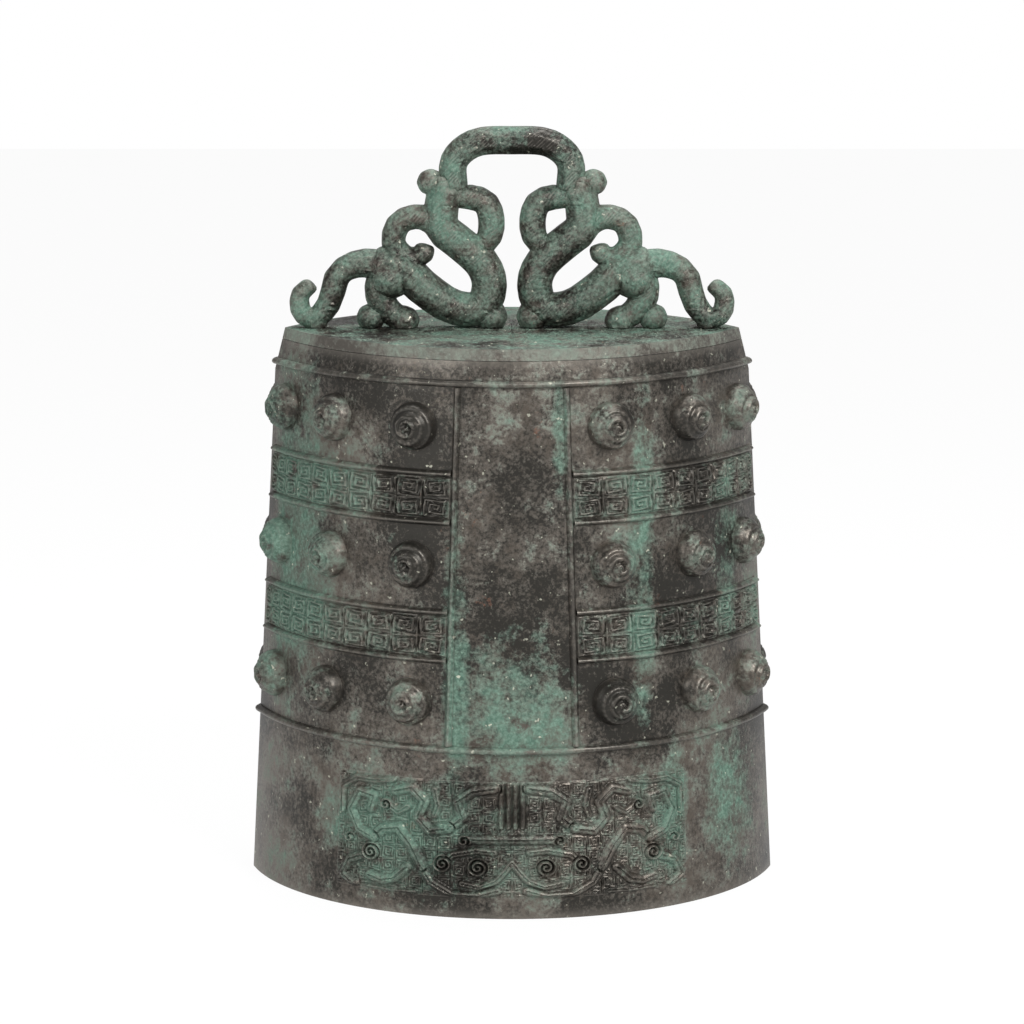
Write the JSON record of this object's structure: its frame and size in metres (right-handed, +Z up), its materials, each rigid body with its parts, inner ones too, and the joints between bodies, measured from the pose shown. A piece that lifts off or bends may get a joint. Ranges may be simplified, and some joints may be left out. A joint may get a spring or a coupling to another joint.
{
  "type": "bronze ritual bell",
  "caption": "Cast bronze bell with a level rim, pointed-oval body, coiled bosses, relief bands and an arched loop held by paired dragons.",
  "frame": {"origin": "middle of the mouth, on the level of the rim", "axes": "+Z up along the bell to the loop, +X along the long way of the mouth, the front face looks along -Y"},
  "size_m": [0.336, 0.2592, 0.4793],
  "materials": {
    "wall_bronze": "smooth aged bronze, grey-brown, with green corrosion runs",
    "relief_bronze": "aged bronze relief, lighter on the raised edges, green in the hollows",
    "green_bronze": "aged bronze under dull green corrosion"
  },
  "bodies": {
    "root": {"bell_wall": "wall_bronze", "top_plate": "green_bronze", "shoulder_rib": "relief_bronze", "waist_rib": "relief_bronze", "dragon_left": "green_bronze", "dragon_right": "green_bronze", "suspension_arch": "green_bronze", "front_drum_panel": "relief_bronze", "front_left_field_frame": "relief_bronze", "front_left_lower_band": "green_bronze", "front_left_upper_band": "green_bronze", "front_left_boss_1_1": "relief_bronze", "front_left_boss_1_2": "relief_bronze", "front_left_boss_1_3": "relief_bronze", "front_left_boss_2_1": "relief_bronze", "front_left_boss_2_2": "relief_bronze", "front_left_boss_2_3": "relief_bronze", "front_left_boss_3_1": "relief_bronze", "front_left_boss_3_2": "relief_bronze", "front_left_boss_3_3": "relief_bronze", "front_right_field_frame": "relief_bronze", "front_right_lower_band": "green_bronze", "front_right_upper_band": "green_bronze", "front_right_boss_1_1": "relief_bronze", "front_right_boss_1_2": "relief_bronze", "front_right_boss_1_3": "relief_bronze", "front_right_boss_2_1": "relief_bronze", "front_right_boss_2_2": "relief_bronze", "front_right_boss_2_3": "relief_bronze", "front_right_boss_3_1": "relief_bronze", "front_right_boss_3_2": "relief_bronze", "front_right_boss_3_3": "relief_bronze", "back_drum_panel": "relief_bronze", "back_left_field_frame": "relief_bronze", "back_left_lower_band": "green_bronze", "back_left_upper_band": "green_bronze", "back_left_boss_1_1": "relief_bronze", "back_left_boss_1_2": "relief_bronze", "back_left_boss_1_3": "relief_bronze", "back_left_boss_2_1": "relief_bronze", "back_left_boss_2_2": "relief_bronze", "back_left_boss_2_3": "relief_bronze", "back_left_boss_3_1": "relief_bronze", "back_left_boss_3_2": "relief_bronze", "back_left_boss_3_3": "relief_bronze", "back_right_field_frame": "relief_bronze", "back_right_lower_band": "green_bronze", "back_right_upper_band": "green_bronze", "back_right_boss_1_1": "relief_bronze", "back_right_boss_1_2": "relief_bronze", "back_right_boss_1_3": "relief_bronze", "back_right_boss_2_1": "relief_bronze", "back_right_boss_2_2": "relief_bronze", "back_right_boss_2_3": "relief_bronze", "back_right_boss_3_1": "relief_bronze", "back_right_boss_3_2": "relief_bronze", "back_right_boss_3_3": "relief_bronze"}
  },
  "joints": []
}
